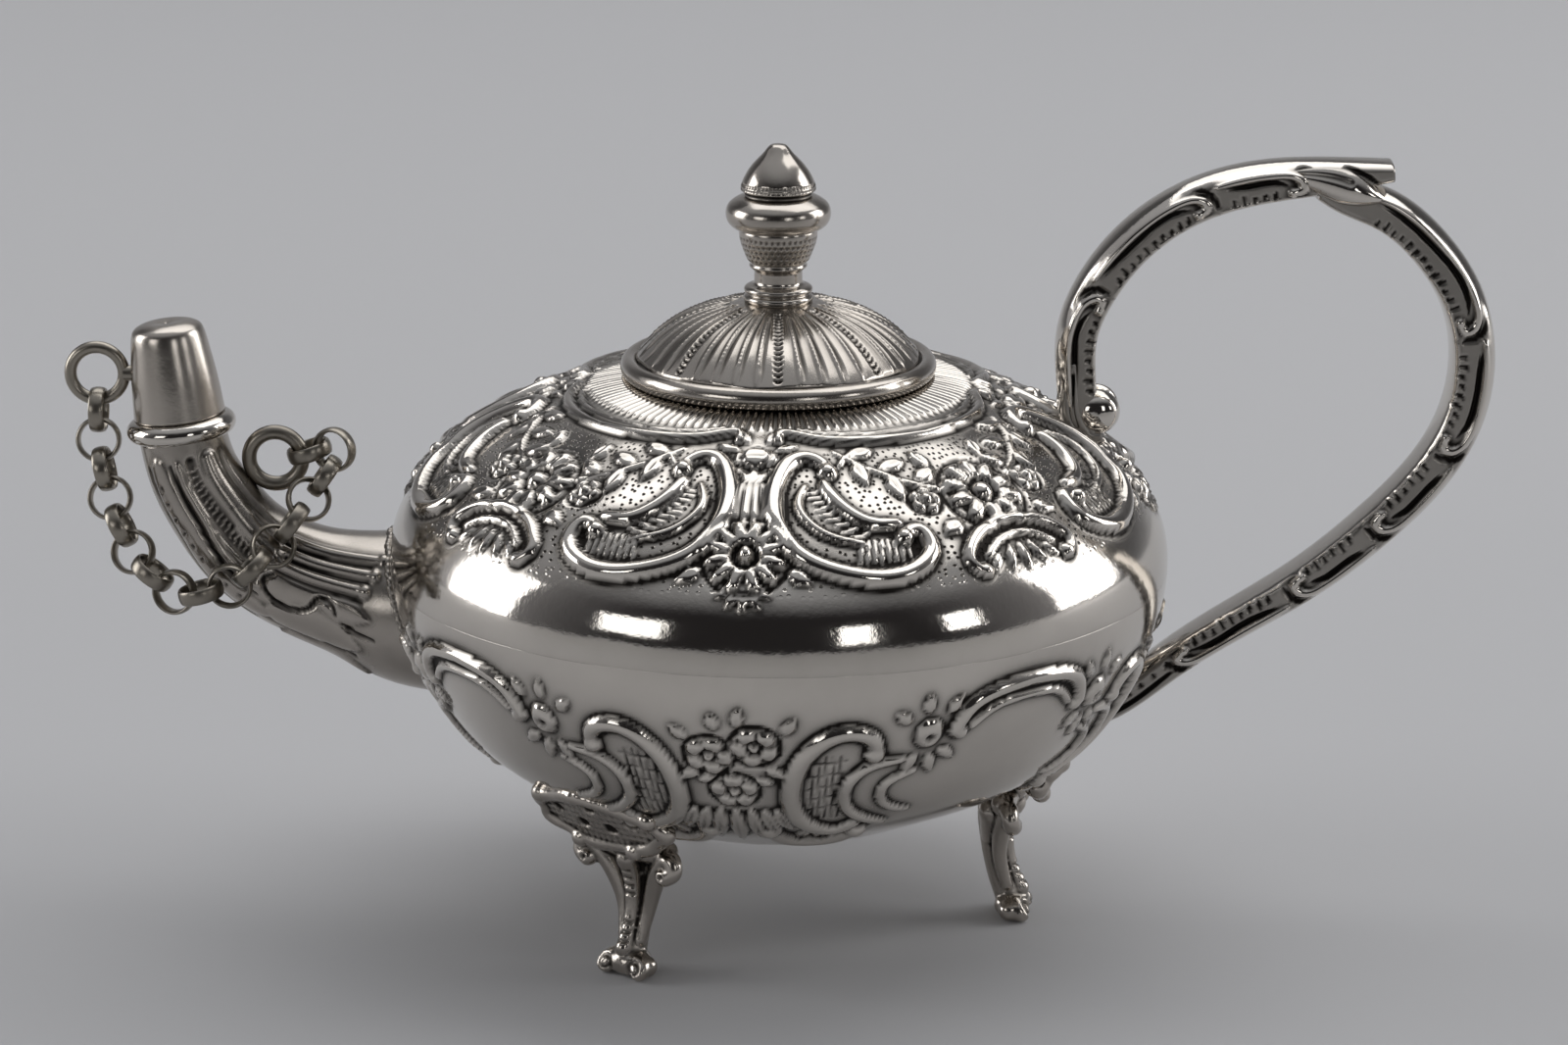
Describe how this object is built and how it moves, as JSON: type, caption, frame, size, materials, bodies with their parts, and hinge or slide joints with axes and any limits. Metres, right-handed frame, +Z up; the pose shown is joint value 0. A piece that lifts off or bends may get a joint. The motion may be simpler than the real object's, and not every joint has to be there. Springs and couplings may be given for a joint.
{
  "type": "genie oil lamp",
  "caption": "Silver genie-style table lamp: squat chased bowl on scrolled feet, lift-off lid with finial, long wick spout with chained snuffer cap, tall looped handle.",
  "frame": {"origin": "on the table under the middle of the lamp, on the axis of the bowl", "axes": "+Z up along the bowl axis, +X towards the handle, -X towards the spout, -Y the side that faces the viewer"},
  "size_m": [0.1338, 0.0736, 0.0748],
  "materials": {
    "chased_silver": "polished silver with raised ornament, dark in the hollows",
    "plain_silver": "plain polished silver",
    "chain_silver": "dull tarnished silver",
    "wick_cotton": "twisted cotton"
  },
  "bodies": {
    "lamp": {"lower_bowl": "chased_silver", "upper_bowl": "chased_silver", "filler_collar": "plain_silver", "spout": "chased_silver", "spout_lip": "plain_silver", "spout_ring": "chain_silver", "burner_disc": "plain_silver", "wick_tube": "plain_silver", "wick": "wick_cotton", "handle_arm": "chased_silver", "handle_loop": "chased_silver", "foot_front": "chased_silver", "foot_right": "chased_silver", "foot_back": "chased_silver"},
    "lid": {"lid_dome": "chased_silver", "lid_rim": "chased_silver", "lid_bezel": "plain_silver", "finial_baluster": "plain_silver", "finial_bead": "plain_silver", "finial_tip": "plain_silver", "finial_washer": "plain_silver", "finial_nut": "plain_silver"},
    "snuffer": {"snuffer_cap": "plain_silver", "snuffer_ring": "chain_silver"},
    "link_17": {"chain_link_17": "chain_silver"},
    "link_16": {"chain_link_16": "chain_silver"},
    "link_15": {"chain_link_15": "chain_silver"},
    "link_14": {"chain_link_14": "chain_silver"},
    "link_13": {"chain_link_13": "chain_silver"},
    "link_12": {"chain_link_12": "chain_silver"},
    "link_11": {"chain_link_11": "chain_silver"},
    "link_10": {"chain_link_10": "chain_silver"},
    "link_09": {"chain_link_09": "chain_silver"},
    "link_08": {"chain_link_08": "chain_silver"},
    "link_07": {"chain_link_07": "chain_silver"},
    "link_06": {"chain_link_06": "chain_silver"},
    "link_05": {"chain_link_05": "chain_silver"},
    "link_04": {"chain_link_04": "chain_silver"},
    "link_03": {"chain_link_03": "chain_silver"},
    "link_02": {"chain_link_02": "chain_silver"},
    "link_01": {"chain_link_01": "chain_silver"}
  },
  "joints": [
    {"name": "lid_lift", "type": "slide", "parent": "lamp", "child": "lid", "axis": [0, 0, 1], "range_m": [0, 0.02]},
    {"name": "snuffer_lift", "type": "slide", "parent": "lamp", "child": "snuffer", "axis": [-0.1045, 0, 0.9945], "range_m": [0, 0.009]},
    {"name": "link_17_swing", "type": "hinge", "parent": "lamp", "child": "link_17", "pos_m": [-0.04496, 0, 0.04532], "axis": [0, 1, 0], "range_deg": [-1, 1.6]},
    {"name": "link_16_swing", "type": "hinge", "parent": "lamp", "child": "link_16", "pos_m": [-0.04263, 0, 0.04602], "axis": [0, 1, 0], "range_deg": [-1, 12.8]},
    {"name": "link_15_swing", "type": "hinge", "parent": "lamp", "child": "link_15", "pos_m": [-0.04261, 0, 0.04585], "axis": [0, 1, 0], "range_deg": [-1, 13.9]},
    {"name": "link_14_swing", "type": "hinge", "parent": "lamp", "child": "link_14", "pos_m": [-0.04324, 0, 0.04423], "axis": [0, 1, 0], "range_deg": [-1, 25.1]},
    {"name": "link_13_swing", "type": "hinge", "parent": "lamp", "child": "link_13", "pos_m": [-0.04336, 0, 0.04407], "axis": [0, 1, 0], "range_deg": [-1, 26.4]},
    {"name": "link_12_swing", "type": "hinge", "parent": "lamp", "child": "link_12", "pos_m": [-0.04401, 0, 0.04337], "axis": [0, 1, 0], "range_deg": [-1, 30.8]},
    {"name": "link_11_swing", "type": "hinge", "parent": "lamp", "child": "link_11", "pos_m": [-0.0441, 0, 0.04329], "axis": [0, 1, 0], "range_deg": [-1, 31.2]},
    {"name": "link_10_swing", "type": "hinge", "parent": "lamp", "child": "link_10", "pos_m": [-0.04412, 0, 0.04327], "axis": [0, 1, 0], "range_deg": [-1, 31.3]},
    {"name": "link_09_swing", "type": "hinge", "parent": "lamp", "child": "link_09", "pos_m": [-0.04395, 0, 0.04337], "axis": [0, 1, 0], "range_deg": [-1, 30.8]},
    {"name": "link_08_swing", "type": "hinge", "parent": "lamp", "child": "link_08", "pos_m": [-0.04105, 0, 0.04478], "axis": [0, 1, 0], "range_deg": [-1, 25.7]},
    {"name": "link_07_swing", "type": "hinge", "parent": "lamp", "child": "link_07", "pos_m": [-0.04011, 0, 0.04509], "axis": [0, 1, 0], "range_deg": [-1, 24.5]},
    {"name": "link_06_swing", "type": "hinge", "parent": "lamp", "child": "link_06", "pos_m": [-0.02722, 0, 0.04794], "axis": [0, 1, 0], "range_deg": [-1, 15.7]},
    {"name": "link_05_swing", "type": "hinge", "parent": "lamp", "child": "link_05", "pos_m": [-0.02383, 0, 0.04844], "axis": [0, 1, 0], "range_deg": [-1, 14.4]},
    {"name": "link_04_swing", "type": "hinge", "parent": "lamp", "child": "link_04", "pos_m": [0.06145, 0, 0.05536], "axis": [0, 1, 0], "range_deg": [-1, 5.2]},
    {"name": "link_03_swing", "type": "hinge", "parent": "lamp", "child": "link_03", "pos_m": [0.09772, 0, 0.05755], "axis": [0, 1, 0], "range_deg": [-1, 4.3]},
    {"name": "link_02_swing", "type": "hinge", "parent": "lamp", "child": "link_02", "pos_m": [-0.92412, 0, 0.01326], "axis": [0, 1, 0], "range_deg": [-1.6, 1]},
    {"name": "link_01_swing", "type": "hinge", "parent": "lamp", "child": "link_01", "pos_m": [-0.64554, 0, 0.02623], "axis": [0, 1, 0], "range_deg": [-1.9, 1]}
  ],
  "couplings": [
    {"joint": "link_17_swing", "follows": "snuffer_lift", "rad_per_m": 1.136},
    {"joint": "link_16_swing", "follows": "snuffer_lift", "rad_per_m": 22.81},
    {"joint": "link_15_swing", "follows": "snuffer_lift", "rad_per_m": 24.985},
    {"joint": "link_14_swing", "follows": "snuffer_lift", "rad_per_m": 46.826},
    {"joint": "link_13_swing", "follows": "snuffer_lift", "rad_per_m": 49.202},
    {"joint": "link_12_swing", "follows": "snuffer_lift", "rad_per_m": 57.695},
    {"joint": "link_11_swing", "follows": "snuffer_lift", "rad_per_m": 58.572},
    {"joint": "link_10_swing", "follows": "snuffer_lift", "rad_per_m": 58.7},
    {"joint": "link_09_swing", "follows": "snuffer_lift", "rad_per_m": 57.836},
    {"joint": "link_08_swing", "follows": "snuffer_lift", "rad_per_m": 47.926},
    {"joint": "link_07_swing", "follows": "snuffer_lift", "rad_per_m": 45.649},
    {"joint": "link_06_swing", "follows": "snuffer_lift", "rad_per_m": 28.485},
    {"joint": "link_05_swing", "follows": "snuffer_lift", "rad_per_m": 25.984},
    {"joint": "link_04_swing", "follows": "snuffer_lift", "rad_per_m": 8.205},
    {"joint": "link_03_swing", "follows": "snuffer_lift", "rad_per_m": 6.36},
    {"joint": "link_02_swing", "follows": "snuffer_lift", "rad_per_m": -1.196},
    {"joint": "link_01_swing", "follows": "snuffer_lift", "rad_per_m": -1.769}
  ]
}
